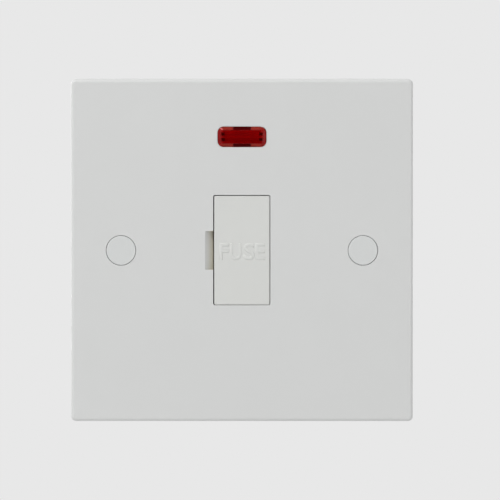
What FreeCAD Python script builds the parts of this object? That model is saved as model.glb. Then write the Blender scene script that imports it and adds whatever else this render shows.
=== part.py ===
import FreeCAD, Part
import math
import os
import re
import Sketcher

# Fused spur unit: an unswitched fused outlet plate with a neon lamp, on a square wall plate.
# Millimetres. The origin is the centre of the wall plane, +Y goes into the wall,
# the front face looks along -Y and +Z is up.

SIZES = {
    # The moulded front plate
    "fixing_centres": 60.3,
    "plate_margin": 12.85,
    "plate_deep": 9,
    "plate_wall": 2.4,
    "rim_wall": 2.0,
    "plate_draft": 2.5,
    "plate_corner": 1.6,
    "inner_corner": 1.0,
    "front_round": 0.8,
    "rib_wide": 1.2,
    "rib_high": 1.2,
    "rib_across": 26,
    "rib_up": 40,
    # Fixing holes and the caps over them
    "fixing_hole": 4.2,
    "boss_wide": 10.4,
    "boss_gap": 0.3,
    "cap_wide": 7.36,
    "cap_gap": 0.1,
    "cap_deep": 3.2,
    "cap_face": 1.4,
    "cap_skirt": 0.8,
    "cap_slot": 1.6,
    "cap_bevel": 0.15,
    "cap_ledge": 0.33,
    "head_recess": 2.4,
    # The fuse and its pull-out carrier
    "fuse_long": 25.4,
    "fuse_wide": 6.35,
    "fuse_front_gap": 0.625,
    "fuse_end_gap": 0.1,
    "cup_long": 5.5,
    "cup_wall": 0.305,
    "cup_end": 0.4,
    "cup_gap": 0.02,
    "cup_bevel": 0.3,
    "carrier_face": 2.3,
    "carrier_bevel": 0.2,
    "carrier_corner": 0.35,
    "carrier_end_wall": 0.8,
    "skirt_wall": 1.3,
    "skirt_past_clip": 1.5,
    "saddle_wide": 8.8,
    "saddle_long": 3.2,
    "saddle_clear": 2.2,
    "saddle_grip": 1.4,
    "saddle_gap": 0.05,
    "spine_wide": 1.4,
    "spine_deep": 0.9,
    "lever_slot_tall": 8.0,
    "lever_slot_deep": 1.5,
    # The well that the carrier slides in, and the lever notch beside it
    "carrier_gap": 0.2,
    "carrier_end_gap": 0.135,
    "carrier_aside": 0.06,
    "carrier_down": 0.065,
    "carrier_stop_gap": 0.1,
    "well_wall": 1.2,
    "well_clear": 2.3,
    "ledge_deep": 1.2,
    "ledge_wide": 0.75,
    "notch_wide": 2.0,
    "notch_tall": 9.6,
    "notch_deep": 2.0,
    "notch_lip": 0.1,
    # The lens, its light shaft, the lamp behind it and the lamp's wires
    "lens_up": 28.3,
    "lens_wide": 12.1,
    "lens_tall": 5.0,
    "lens_corner": 1.45,
    "lens_proud": 0.4,
    "lens_seat": 0.7,
    "lens_bevel": 0.7,
    "lens_face": 1.1,
    "lens_rim": 0.8,
    "lens_ridge_pitch": 1.13,
    "lens_ridge_high": 0.4,
    "lens_gap": 0.08,
    "lens_end_seat": 0.9,
    "lens_leg_wide": 4.0,
    "lens_leg_thick": 0.8,
    "lens_hook_wide": 0.22,
    "lens_hook_tall": 0.6,
    "lens_hook_gap": 0.05,
    "shaft_wall": 1.0,
    "shaft_gap": 0.45,
    "shaft_end_gap": 0.2,
    "lamp_wide": 4.6,
    "lamp_gap": 0.2,
    "lamp_end_gap": 0.4,
    "lamp_lead_room": 1.4,
    "lamp_pip_long": 1.6,
    "lamp_pip_wide": 1.3,
    "lamp_shoulder": 0.6,
    "resistor_wide": 2.3,
    "resistor_long": 6.3,
    "resistor_set_in": 2.0,
    "resistor_inset": 3.8,
    "resistor_end": 1.3,
    "resistor_waist": 0.15,
    "resistor_bevel": 0.3,
    "lead_wide": 0.4,
    "lead_pitch": 1.6,
    "lead_out": 0.4,
    "lead_step": 0.7,
    "lead_drop": 1.2,
    "lead_behind": 1.2,
    "lead_joint_up": 2.4,
    "lead_joint_aside": 1.5,
    "lead_notch_wide": 2.2,
    "lead_notch_deep": 4.2,
    # The rear housing and the screws that hold it to the plate
    "housing_wall": 1.8,
    "housing_floor": 2.0,
    "housing_corner": 3.0,
    "housing_round": 1.2,
    "barrier_wide": 1.2,
    "barrier_high": 1.8,
    "panel_margin": 2.0,
    "panel_tall": 20.0,
    "panel_corner": 1.5,
    "panel_deep": 0.5,
    "locating_rib": 1.0,
    "locating_gap": 0.15,
    "locating_lap": 0.6,
    "tower_wide": 7.2,
    "tower_inset": 1.1,
    "tower_below": 11.0,
    "tower_set_in": 2.0,
    "post_gap": 0.2,
    "pilot_end": 1.2,
    "thread_gap": 0.05,
    "housing_screw": 2.9,
    "housing_screw_tip": 1.0,
    "housing_screw_head": 5.2,
    "housing_screw_head_high": 2.0,
    "housing_screw_sunk": 9.0,
    "screw_head_bevel": 0.5,
    "screw_slot_wide": 0.8,
    "screw_slot_deep": 0.9,
    "screw_gap": 0.15,
    "counterbore_gap": 0.2,
    # Terminals, their screws, and the brass strips that join them
    "terminal_past_fuse": 8.8,
    "terminal_wide": 7.0,
    "terminal_tall": 8.0,
    "terminal_deep": 8.0,
    "terminal_gap": 0.2,
    "terminal_bevel": 0.4,
    "behind_terminals": 4.5,
    "pocket_wall": 1.2,
    "wire_hole": 4.0,
    "wire_hole_behind": 3.2,
    "entry_gap": 0.5,
    "entry_wall": 4.3,
    "entry_bevel": 0.8,
    "terminal_screw": 3.4,
    "terminal_screw_clear": 0.15,
    "terminal_screw_head": 5.4,
    "terminal_screw_head_high": 2.0,
    "terminal_screw_sunk": 0.4,
    "head_gap": 0.5,
    "rivet_wide": 1.8,
    "rivet_proud": 0.3,
    "rivet_gap": 0.05,
    "strip": 0.6,
    "strip_overrun": 3.7,
    "link_wide": 3.2,
    "link_gap": 0.1,
    "clip_gap": 0.05,
    "clip_side_gap": 1.195,
    "clip_tall": 4.8,
    "clip_back_gap": 0.725,
    "clip_jaw_front": 2.2,
    "clip_lip_long": 0.8,
    "clip_lip_out": 0.6,
    "clip_foot_wide": 5.0,
    "clip_end_gap": 0.1,
    "pedestal_wide": 7.6,
}

# Places that follow from the sizes, as formulas in the same sheet: the ending names the axis,
# and an x or z is measured from the centre
PLACES = {
    # Along Y, from the front face to the back of the housing
    "face_y": "-plate_deep",
    "inside_y": "face_y + plate_wall",
    "recess_y": "face_y + cap_deep + head_recess",
    "carrier_inside_y": "face_y + carrier_face",
    "fuse_y": "carrier_inside_y + spine_deep + fuse_front_gap + fuse_wide / 2",
    "clip_front_y": "fuse_y + fuse_wide / 2 + clip_back_gap",
    "clip_seat_y": "clip_front_y + strip",
    "carrier_back_y": "clip_front_y + skirt_past_clip",
    "well_stop_y": "carrier_back_y + carrier_stop_gap",
    "well_end_y": "well_stop_y + ledge_deep",
    "terminal_front_y": "well_end_y + well_clear",
    "strip_front_y": "terminal_front_y - strip",
    "wire_y": "terminal_front_y + wire_hole_behind",
    "terminal_back_y": "terminal_front_y + terminal_deep",
    "housing_back_y": "terminal_back_y + behind_terminals",
    "bay_floor_y": "housing_back_y - housing_floor",
    "lens_front_y": "face_y - lens_proud",
    "lens_seat_y": "inside_y - lens_seat",
    "lamp_y": "inside_y + lens_hook_tall + lamp_gap + lamp_wide / 2",
    "shaft_end_y": "lamp_y + lamp_wide / 2",
    "housing_front_y": "shaft_end_y + shaft_end_gap",
    "locating_end_y": "housing_front_y + locating_lap",
    "tower_front_y": "housing_front_y + tower_set_in",
    "resistor_y": "housing_front_y + resistor_set_in",
    "lead_y": "resistor_y + lead_behind",
    "screw_seat_y": "housing_back_y - housing_screw_sunk",
    # Across X
    "fixing_x": "fixing_centres / 2",
    "plate_half": "fixing_x + plate_margin",
    "clip_x": "fuse_wide / 2 + clip_gap + strip + clip_lip_out",
    "carrier_x": "clip_x + clip_side_gap + skirt_wall",
    "well_x": "carrier_x + carrier_gap",
    "housing_x": "fixing_x - boss_wide / 2 - boss_gap - locating_rib - locating_gap",
    "tower_x": "housing_x - tower_inset - tower_wide / 2",
    "terminal_x": "tower_x - tower_wide / 2 - link_gap - link_wide / 2",
    "pocket_half": "terminal_wide / 2 + terminal_gap",
    "lamp_right_x": "lens_wide / 2 + shaft_gap - lamp_lead_room",
    "lamp_left_x": "lamp_end_gap - lens_wide / 2 - shaft_gap",
    "near_lead_x": "lamp_right_x + lead_out",
    "far_lead_x": "near_lead_x + lead_step",
    # Up Z
    "fuse_end_z": "fuse_long / 2",
    "carrier_inside_z": "fuse_end_z + fuse_end_gap",
    "carrier_z": "carrier_inside_z + carrier_end_wall",
    "well_z": "carrier_z + carrier_end_gap",
    "clip_out_z": "fuse_end_z - clip_end_gap",
    "clip_in_z": "clip_out_z - clip_tall",
    "pedestal_out_z": "clip_out_z - strip - clip_end_gap",
    "saddle_out_z": "clip_in_z - saddle_clear",
    "saddle_in_z": "saddle_out_z - saddle_long",
    "terminal_z": "fuse_end_z + terminal_past_fuse",
    "strip_end_z": "terminal_z + strip_overrun",
    "pocket_in_z": "terminal_z - terminal_tall / 2 - terminal_gap",
    "pocket_out_z": "terminal_z + terminal_tall / 2 + terminal_gap",
    "housing_z": "pocket_out_z + entry_wall",
    "tower_z": "terminal_z - tower_below",
    "resistor_z": "housing_z - resistor_inset",
    "lead_joint_z": "terminal_z + lead_joint_up",
    # Widths
    "tube_wide": "fuse_wide - 2 * cup_wall - 2 * cup_gap",
    "pilot_wide": "housing_screw + 2 * thread_gap",
    "post_wide": "2 * (housing_x - housing_wall - post_gap - tower_x)",
    "wire_entry": "wire_hole + 2 * entry_gap",
}

document = FreeCAD.newDocument("fused_spur_unit")
sheet = document.addObject("Spreadsheet::Sheet", "sizes")
cells = list(SIZES.items()) + [(name, "=" + formula) for name, formula in PLACES.items()]
for row, (name, content) in enumerate(cells, start=1):
    sheet.set(f"A{row}", name)
    sheet.set(f"B{row}", str(content))
    sheet.setAlias(f"B{row}", name)
document.recompute()

pieces = []


def bound(formula):
    """A formula in the sheet's names, in the form that a property is bound with."""

    def from_sheet(word):
        name = word.group()
        return "sizes." + name if name in SIZES or name in PLACES else name

    return re.sub(r"[a-z_]+", from_sheet, formula)


def value(formula):
    return float(sheet.evalExpression(bound(formula)))


def bind(thing, prop, formula):
    thing.setExpression(prop, bound(formula))


def piece(label):
    """A new body for one physical piece."""
    body = document.addObject("PartDesign::Body", label)
    body.Label = label
    pieces.append(body)
    return body


def hold(sketch, geometry, point, x, y):
    """Fix one point of a sketch at two formulas, measured from the sketch's origin."""
    for kind, formula in (("DistanceX", x), ("DistanceY", y)):
        constraint = Sketcher.Constraint(kind, -1, 1, geometry, point, value(formula))
        bind(sketch, f"Constraints[{sketch.addConstraint(constraint)}]", formula)


def line(sketch, start, end):
    first = FreeCAD.Vector(start[0], start[1], 0)
    last = FreeCAD.Vector(end[0], end[1], 0)
    return sketch.addGeometry(Part.LineSegment(first, last), False)


def polygon(*corners):
    """A closed outline of straight edges through corners given as pairs of formulas."""

    def draw(sketch):
        spots = [(value(x), value(y)) for x, y in corners]
        edges = [line(sketch, spot, spots[(n + 1) % len(spots)]) for n, spot in enumerate(spots)]
        for n, edge in enumerate(edges):
            sketch.addConstraint(Sketcher.Constraint("Coincident", edge, 2, edges[(n + 1) % len(edges)], 1))
        for edge, (x, y) in zip(edges, corners):
            hold(sketch, edge, 1, x, y)

    return draw


def rectangle(left, right, bottom, top):
    return polygon((left, bottom), (right, bottom), (right, top), (left, top))


def box_about(x, y, wide, tall):
    """A rectangle about a centre."""
    return rectangle(f"{x} - {wide} / 2", f"{x} + {wide} / 2", f"{y} - {tall} / 2", f"{y} + {tall} / 2")


def circle(x, y, across):
    def draw(sketch):
        centre = FreeCAD.Vector(value(x), value(y), 0)
        ring = Part.Circle(centre, FreeCAD.Vector(0, 0, 1), value(across) / 2)
        edge = sketch.addGeometry(ring, False)
        size = Sketcher.Constraint("Diameter", edge, value(across))
        bind(sketch, f"Constraints[{sketch.addConstraint(size)}]", across)
        hold(sketch, edge, 3, x, y)

    return draw


def rounded_about(x, y, wide, tall, radius):
    """A rectangle with round corners: four quarter circles held by their centres, joined by four edges."""
    out, up = f"({wide} / 2 - {radius})", f"({tall} / 2 - {radius})"
    centres = [(f"{x} + {out}", f"{y} + {up}"), (f"{x} - {out}", f"{y} + {up}"),
               (f"{x} - {out}", f"{y} - {up}"), (f"{x} + {out}", f"{y} - {up}")]

    def draw(sketch):
        arcs = []
        for quarter, (across, along) in enumerate(centres):
            centre = FreeCAD.Vector(value(across), value(along), 0)
            ring = Part.Circle(centre, FreeCAD.Vector(0, 0, 1), value(radius))
            start = quarter * math.pi / 2
            arc = sketch.addGeometry(Part.ArcOfCircle(ring, start, start + math.pi / 2), False)
            size = Sketcher.Constraint("Radius", arc, value(radius))
            bind(sketch, f"Constraints[{sketch.addConstraint(size)}]", radius)
            hold(sketch, arc, 3, across, along)
            first, last = ("Horizontal", "Vertical") if quarter % 2 == 0 else ("Vertical", "Horizontal")
            sketch.addConstraint(Sketcher.Constraint(first, arc, 3, arc, 1))
            sketch.addConstraint(Sketcher.Constraint(last, arc, 3, arc, 2))
            arcs.append(arc)
        for n, arc in enumerate(arcs):
            following = arcs[(n + 1) % len(arcs)]
            end = sketch.getPoint(arc, 2)
            start = sketch.getPoint(following, 1)
            edge = line(sketch, (end.x, end.y), (start.x, start.y))
            sketch.addConstraint(Sketcher.Constraint("Coincident", arc, 2, edge, 1))
            sketch.addConstraint(Sketcher.Constraint("Coincident", edge, 2, following, 1))

    return draw


def sketch_on(body, title, plane, offsets, outlines):
    """A sketch on one of the body's own planes, shifted by formulas along the sketch's axes."""
    sketch = body.newObject("Sketcher::SketchObject", title)
    face = next(f for f in body.Origin.OriginFeatures if f.Role == f"{plane}_Plane")
    sketch.AttachmentSupport = [(face, "")]
    sketch.MapMode = "FlatFace"
    for axis, formula in zip("xyz", offsets):
        if formula:
            bind(sketch, f"AttachmentOffset.Base.{axis}", formula)
    for draw in outlines:
        draw(sketch)
    return sketch


def extrude(body, title, plane, low, high, outlines, cut=False, draft=None):
    """A pad, or a pocket where cut is set, from low to high along the axis across the plane.

    The XZ plane's own normal points along -Y, and the other two point along their axis.
    """
    forward = plane != "XZ"
    start = low if forward != cut else high
    shift = start if forward else f"-({start})"
    sketch = sketch_on(body, title + "_outline", plane, (None, None, shift), outlines)
    feature = body.newObject("PartDesign::Pocket" if cut else "PartDesign::Pad", title)
    feature.Profile = sketch
    bind(feature, "Length", f"({high}) - ({low})")
    if draft:
        bind(feature, "TaperAngle", draft)
    changed(body, cut)


def turn(body, title, axis, centre, profile):
    """A turned form about an axis along X, Y or Z, from corners of (radius, place along the axis)."""
    x, y, z = centre
    if axis == "Y":
        plane, offsets, edge = "XY", (x, None, z), "V_Axis"
    elif axis == "Z":
        plane, offsets, edge = "XZ", (x, None, f"-({y})"), "V_Axis"
    else:
        plane, offsets, edge = "XY", (None, y, z), "H_Axis"
    corners = [(along, radius) if axis == "X" else (radius, along) for radius, along in profile]
    sketch = sketch_on(body, title + "_profile", plane, offsets, [polygon(*corners)])
    feature = body.newObject("PartDesign::Revolution", title)
    feature.Profile = sketch
    feature.ReferenceAxis = (sketch, [edge])
    feature.Angle = 360
    changed(body, False)


def changed(body, cut):
    """Stop if the newest feature failed, or if it did not add or take away material."""
    document.recompute()
    feature = body.Tip
    if not feature.isValid():
        raise RuntimeError(f"{body.Label}: {feature.Label} failed")
    before = getattr(feature, "BaseFeature", None)
    volume = before.Shape.Volume if before else 0
    gained = feature.Shape.Volume - volume
    if abs(gained) < 1e-6 or (gained > 0) == cut:
        raise RuntimeError(f"{body.Label}: {feature.Label} changed the volume by {gained:.4f}")


def dress(body, title, kind, size, wanted):
    """A fillet or chamfer on those edges of the body that wanted(edge) picks."""
    names = [f"Edge{n}" for n, edge in enumerate(body.Tip.Shape.Edges, start=1) if wanted(edge)]
    feature = body.newObject(f"PartDesign::{kind}", title)
    feature.Base = (feature.BaseFeature, names)
    bind(feature, "Radius" if kind == "Fillet" else "Size", size)
    changed(body, True)


def at_level(axis, level, tolerance=1e-4):
    """Picks the edges that lie wholly at one level of an axis."""
    place = value(level)

    def wanted(edge):
        box = edge.BoundBox
        low, high = getattr(box, axis + "Min"), getattr(box, axis + "Max")
        return abs(low - place) < tolerance and abs(high - place) < tolerance

    return wanted


def both(first, second):
    return lambda edge: first(edge) and second(edge)


def circle_of(across):
    """Picks the round edges of one diameter."""
    radius = value(across) / 2
    return lambda edge: hasattr(edge.Curve, "Radius") and abs(edge.Curve.Radius - radius) < 1e-4


def along_axis(axis):
    """Picks the straight edges that run along one axis."""
    others = [a for a in "XYZ" if a != axis]
    return lambda edge: all(getattr(edge.BoundBox, a + "Length") < 1e-4 for a in others)


def spread(side, near, far):
    """Two levels along an axis on the plus or minus side, the lower one first."""
    return (near, far) if side > 0 else (f"-({far})", f"-({near})")


def corners_of(x, z):
    """The four places that mirror each other about the centre."""
    return [(f"{a} * {x}", f"{b} * {z}") for a in (-1, 1) for b in (-1, 1)]


def front_plate():
    """A hollow square moulding: its rim meets the wall, and the shafts behind its face hold the rest."""
    plate = piece("front_plate")
    side = "(2 * plate_half)"
    extrude(plate, "slab", "XZ", "face_y", "0",
            [rounded_about("0", "0", side, side, "plate_corner")], draft="-plate_draft")
    dress(plate, "front_edge", "Fillet", "front_round", at_level("Y", "face_y"))
    inside = "(2 * plate_half - 2 * rim_wall)"
    extrude(plate, "hollow", "XZ", "inside_y", "0",
            [rounded_about("0", "0", inside, inside, "inner_corner")], cut=True)
    bosses = [circle(f"{side} * fixing_x", "0", "boss_wide") for side in (-1, 1)]
    extrude(plate, "fixing_bosses", "XZ", "inside_y", "0", bosses)
    locating_wall(plate)
    ribs(plate)
    posts = [circle(x, z, "post_wide") for x, z in corners_of("tower_x", "tower_z")]
    extrude(plate, "posts", "XZ", "inside_y", "tower_front_y", posts)
    extrude(plate, "well_walls", "XZ", "inside_y", "well_end_y",
            [box_about("-carrier_aside", "carrier_down", "(2 * well_x + 2 * well_wall)",
                       "(2 * well_z + 2 * well_wall)")])
    extrude(plate, "light_shaft", "XZ", "inside_y", "shaft_end_y",
            [box_about("0", "lens_up", "(lens_wide + 2 * shaft_gap + 2 * shaft_wall)",
                       "(lens_tall + 2 * shaft_gap + 2 * shaft_wall)")])
    cut_plate(plate)


def locating_wall(plate):
    """The low wall that the rear housing's rim drops into, with a gap for the lamp's wires."""
    wide = "(2 * housing_x + 2 * locating_gap)"
    tall = "(2 * housing_z + 2 * locating_gap)"
    inner_round = "(housing_corner + locating_gap)"
    extrude(plate, "locating_wall", "XZ", "inside_y", "locating_end_y",
            [rounded_about("0", "0", wide, tall, inner_round),
             rounded_about("0", "0", f"({wide} + 2 * locating_rib)", f"({tall} + 2 * locating_rib)",
                           f"({inner_round} + locating_rib)")])
    extrude(plate, "wire_gap", "XZ", "shaft_end_y", "locating_end_y",
            [wire_passage("housing_z", "housing_z + locating_gap + 2 * locating_rib")], cut=True)


def wire_passage(bottom, top):
    """The outline that leaves room for the lamp's two wires."""
    middle = "(near_lead_x + far_lead_x) / 2"
    return rectangle(f"{middle} - lead_notch_wide / 2", f"{middle} + lead_notch_wide / 2", bottom, top)


def ribs(plate):
    """Shallow stiffening ribs: eight from the locating wall to the rim, and four on the bosses."""
    edge = "(plate_half - rim_wall)"
    start_x = "(housing_x + locating_gap + locating_rib / 2)"
    start_z = "(housing_z + locating_gap + locating_rib / 2)"
    to_rim, to_boss = [], []
    for side in (-1, 1):
        for other in (-1, 1):
            across = f"({other} * rib_across / 2)"
            up = f"({other} * rib_up / 2)"
            boss = f"({side} * fixing_x)"
            to_rim.append(rectangle(f"{across} - rib_wide / 2", f"{across} + rib_wide / 2",
                                    *spread(side, start_z, edge)))
            to_rim.append(rectangle(*spread(side, start_x, edge),
                                    f"{up} - rib_wide / 2", f"{up} + rib_wide / 2"))
            to_boss.append(rectangle(f"{boss} - rib_wide / 2", f"{boss} + rib_wide / 2",
                                     *spread(other, "boss_wide / 2 - rib_wide / 2", "rib_up / 2")))
    extrude(plate, "ribs_to_rim", "XZ", "inside_y", "inside_y + rib_high", to_rim)
    extrude(plate, "ribs_to_bosses", "XZ", "inside_y", "inside_y + rib_high", to_boss)


def cut_plate(plate):
    """The openings of the plate: well, lever notch, lens seat, cap recesses, screw holes."""
    extrude(plate, "well", "XZ", "face_y", "well_stop_y",
            [rounded_about("-carrier_aside", "carrier_down", "(2 * well_x)", "(2 * well_z)",
                           "(carrier_corner + carrier_end_gap)")], cut=True)
    extrude(plate, "well_window", "XZ", "well_stop_y", "well_end_y",
            [box_about("-carrier_aside", "carrier_down", "(2 * well_x - 2 * ledge_wide)",
                       "(2 * well_z - 2 * ledge_wide)")], cut=True)
    near, far = "(-well_x - carrier_aside)", "(-well_x - carrier_aside - notch_wide)"
    wedge = polygon(
        (far, "face_y"),
        (near, "face_y"),
        (near, "face_y + notch_deep"),
        (far, "face_y + notch_lip"),
    )
    extrude(plate, "lever_notch", "XY", "-notch_tall / 2", "notch_tall / 2", [wedge], cut=True)
    opening_tall = "(lens_tall + 2 * lens_gap)"
    extrude(plate, "lens_opening", "XZ", "face_y", "lens_seat_y",
            [rounded_about("0", "lens_up", "(lens_wide + 2 * lens_gap)", opening_tall,
                           "(lens_corner + lens_gap)")], cut=True)
    extrude(plate, "lens_window", "XZ", "lens_seat_y", "inside_y",
            [box_about("0", "lens_up", "(lens_wide - 2 * lens_end_seat)", opening_tall)], cut=True)
    extrude(plate, "light_shaft_inside", "XZ", "inside_y", "shaft_end_y",
            [box_about("0", "lens_up", "(lens_wide + 2 * shaft_gap)", "(lens_tall + 2 * shaft_gap)")],
            cut=True)
    for title, low, high, across in (
        ("cap_recesses", "face_y", "face_y + cap_deep", "(cap_wide + 2 * cap_gap)"),
        ("head_recesses", "face_y + cap_deep", "recess_y", "(cap_wide + 2 * cap_gap - 2 * cap_ledge)"),
        ("fixing_holes", "recess_y", "0", "fixing_hole"),
    ):
        holes = [circle(f"{side} * fixing_x", "0", across) for side in (-1, 1)]
        extrude(plate, title, "XZ", low, high, holes, cut=True)
    pilots = [circle(x, z, "pilot_wide") for x, z in corners_of("tower_x", "tower_z")]
    extrude(plate, "pilot_holes", "XZ", "inside_y + pilot_end", "tower_front_y", pilots, cut=True)


def screw_cap(label, side):
    """A push-in cap: a flush face with a hollow skirt, split four ways so that it grips."""
    cap = piece(label)
    x = f"{side} * fixing_x"
    turn(cap, "cap", "Y", (x, "0", "0"), [
        ("0", "face_y"),
        ("cap_wide / 2 - cap_bevel", "face_y"),
        ("cap_wide / 2", "face_y + cap_bevel"),
        ("cap_wide / 2", "face_y + cap_deep"),
        ("cap_wide / 2 - cap_skirt", "face_y + cap_deep"),
        ("cap_wide / 2 - cap_skirt", "face_y + cap_face"),
        ("0", "face_y + cap_face"),
    ])
    for title, wide, tall in (("slot_across", "cap_wide", "cap_slot"), ("slot_up", "cap_slot", "cap_wide")):
        extrude(cap, title, "XZ", "face_y + cap_face", "face_y + cap_deep",
                [box_about(x, "0", wide, tall)], cut=True)


def neon_lens():
    """The lens: a bevelled window, hollow and ridged behind, on two snap legs.

    It seats on the ends of its opening.
    """
    lens = piece("neon_lens")
    extrude(lens, "window", "XZ", "lens_front_y", "lens_seat_y",
            [rounded_about("0", "lens_up", "lens_wide", "lens_tall", "lens_corner")])
    dress(lens, "bevel", "Chamfer", "lens_bevel", at_level("Y", "lens_front_y"))
    hollow_y = "(lens_front_y + lens_face)"
    half = "(lens_wide / 2 - lens_rim)"
    extrude(lens, "hollow", "XZ", hollow_y, "lens_seat_y",
            [box_about("0", "lens_up", f"(2 * {half})", "(lens_tall - 2 * lens_rim)")], cut=True)
    ridges = []
    for number in (-1, 0, 1):
        middle = f"(lens_up + {number} * lens_ridge_pitch)"
        ridges.append(polygon(
            (hollow_y, f"{middle} - lens_ridge_high"),
            (f"{hollow_y} + lens_ridge_high", middle),
            (hollow_y, f"{middle} + lens_ridge_high"),
        ))
    extrude(lens, "ridges", "YZ", f"-{half}", half, ridges)
    for side, title in ((1, "upper_leg"), (-1, "lower_leg")):
        outer = f"(lens_up + {side} * lens_tall / 2)"
        inner = f"({outer} - {side} * lens_leg_thick)"
        hook = f"({outer} + {side} * lens_hook_wide)"
        leg = polygon(
            ("lens_seat_y", inner),
            ("lens_seat_y", outer),
            ("inside_y + lens_hook_gap", outer),
            ("inside_y + lens_hook_gap", hook),
            ("inside_y + lens_hook_tall", outer),
            ("inside_y + lens_hook_tall", inner),
        )
        extrude(lens, title, "YZ", "-lens_leg_wide / 2", "lens_leg_wide / 2", [leg])


def neon_lamp():
    """The glass lamp, lying across behind the lens, with its sealing pip at the left."""
    lamp = piece("neon_lamp")
    shoulder = "(lamp_wide / 2 - lamp_shoulder)"
    turn(lamp, "glass", "X", ("0", "lamp_y", "lens_up"), [
        ("0", "lamp_left_x"),
        ("lamp_pip_wide / 4", "lamp_left_x"),
        ("lamp_pip_wide / 2", "lamp_left_x + lamp_pip_long / 2"),
        (shoulder, "lamp_left_x + lamp_pip_long"),
        ("lamp_wide / 2", "lamp_left_x + lamp_pip_long + lamp_shoulder"),
        ("lamp_wide / 2", "lamp_right_x - lamp_shoulder"),
        (shoulder, "lamp_right_x"),
        ("0", "lamp_right_x"),
    ])


def neon_resistor():
    """The lamp's series resistor, with its two swollen ends."""
    resistor = piece("neon_resistor")
    half = [
        ("0", "resistor_long / 2"),
        ("resistor_wide / 2 - resistor_bevel", "resistor_long / 2"),
        ("resistor_wide / 2", "resistor_long / 2 - resistor_bevel"),
        ("resistor_wide / 2", "resistor_long / 2 - resistor_end"),
        ("resistor_wide / 2 - resistor_waist", "resistor_long / 2 - resistor_end - resistor_bevel"),
    ]
    other_half = [(radius, f"-({along})") for radius, along in reversed(half)]
    turn(resistor, "resistor", "X", ("0", "resistor_y", "resistor_z"), half + other_half)


def lead(label, spots):
    """A bare wire: straight runs through the spots with mitred corners and a round section."""
    points = [FreeCAD.Vector(*[value(formula) for formula in spot]) for spot in spots]
    path = Part.makePolygon(points)
    ring = Part.Circle(points[0], points[1] - points[0], value("lead_wide") / 2)
    mitred = 1
    feature = document.addObject("Part::Feature", label)
    feature.Label = label
    feature.Shape = path.makePipeShell([Part.Wire(ring.toShape())], True, True, mitred)
    pieces.append(feature)


def neon_leads():
    """From the lamp's end: one wire through the resistor to the load line, one to the neutral."""
    upper = "lens_up + lead_pitch / 2"
    lower = "lens_up - lead_pitch / 2"
    lead("neon_neutral_lead", [
        ("lamp_right_x", "lamp_y", upper),
        ("far_lead_x", "lamp_y", upper),
        ("far_lead_x", "lead_y", upper),
        ("far_lead_x", "lead_y", "resistor_z + lead_drop"),
        ("terminal_x", "lead_y", "lead_joint_z"),
        ("terminal_x", "strip_front_y", "lead_joint_z"),
    ])
    lead("neon_line_lead", [
        ("lamp_right_x", "lamp_y", lower),
        ("near_lead_x", "lamp_y", lower),
        ("near_lead_x", "resistor_y", lower),
        ("near_lead_x", "resistor_y", "resistor_z"),
        ("resistor_long / 2", "resistor_y", "resistor_z"),
    ])
    aside = "-resistor_long / 2 - lead_joint_aside"
    lead("neon_resistor_lead", [
        ("-resistor_long / 2", "resistor_y", "resistor_z"),
        (aside, "resistor_y", "resistor_z"),
        (aside, "lead_y", "lead_joint_z"),
        ("-lead_joint_aside", "lead_y", "lead_joint_z"),
        ("-lead_joint_aside", "strip_front_y", "lead_joint_z"),
    ])


def fuse_carrier():
    """The pull-out drawer: a flush face, skirts that slide in the well, and saddles for the fuse."""
    carrier = piece("fuse_carrier")
    outline = rounded_about("0", "0", "(2 * carrier_x)", "(2 * carrier_z)", "carrier_corner")
    extrude(carrier, "face", "XZ", "face_y", "carrier_inside_y", [outline])
    dress(carrier, "face_edge", "Chamfer", "carrier_bevel", at_level("Y", "face_y"))
    extrude(carrier, "skirts", "XZ", "carrier_inside_y", "carrier_back_y",
            [outline, box_about("0", "0", "(2 * carrier_x - 2 * skirt_wall)", "(2 * carrier_inside_z)")])
    for side, title in ((1, "upper_saddle"), (-1, "lower_saddle")):
        extrude(carrier, title, "XY", *spread(side, "saddle_in_z", "saddle_out_z"),
                [rectangle("-saddle_wide / 2", "saddle_wide / 2",
                           "carrier_inside_y", "fuse_y + saddle_grip")])
    extrude(carrier, "spine", "XY", "-carrier_inside_z", "carrier_inside_z",
            [rectangle("-spine_wide / 2", "spine_wide / 2", "carrier_inside_y",
                       "carrier_inside_y + spine_deep")])
    extrude(carrier, "fuse_groove", "XY", "-saddle_out_z", "saddle_out_z",
            [circle("0", "fuse_y", "(tube_wide + 2 * saddle_gap)")], cut=True)
    extrude(carrier, "lever_slot", "YZ", "-carrier_x", "-carrier_x + skirt_wall",
            [rectangle("carrier_inside_y", "carrier_inside_y + lever_slot_deep",
                       "-lever_slot_tall / 2", "lever_slot_tall / 2")], cut=True)


def fuse_tube():
    """The cartridge fuse's ceramic tube, closed at each end by a metal cup."""
    tube = piece("fuse_tube")
    end = "(fuse_end_z - cup_end - cup_gap)"
    turn(tube, "tube", "Z", ("0", "fuse_y", "0"),
         [("0", f"-{end}"), ("tube_wide / 2", f"-{end}"), ("tube_wide / 2", end), ("0", end)])


def fuse_cup(label, side):
    """One end cup of the fuse, open towards the tube."""
    cup = piece(label)
    profile = [
        ("0", "fuse_end_z"),
        ("fuse_wide / 2 - cup_bevel", "fuse_end_z"),
        ("fuse_wide / 2", "fuse_end_z - cup_bevel"),
        ("fuse_wide / 2", "fuse_end_z - cup_long"),
        ("fuse_wide / 2 - cup_wall", "fuse_end_z - cup_long"),
        ("fuse_wide / 2 - cup_wall", "fuse_end_z - cup_end"),
        ("0", "fuse_end_z - cup_end"),
    ]
    turn(cup, "cup", "Z", ("0", "fuse_y", "0"), [(radius, f"{side} * ({up})") for radius, up in profile])


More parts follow.
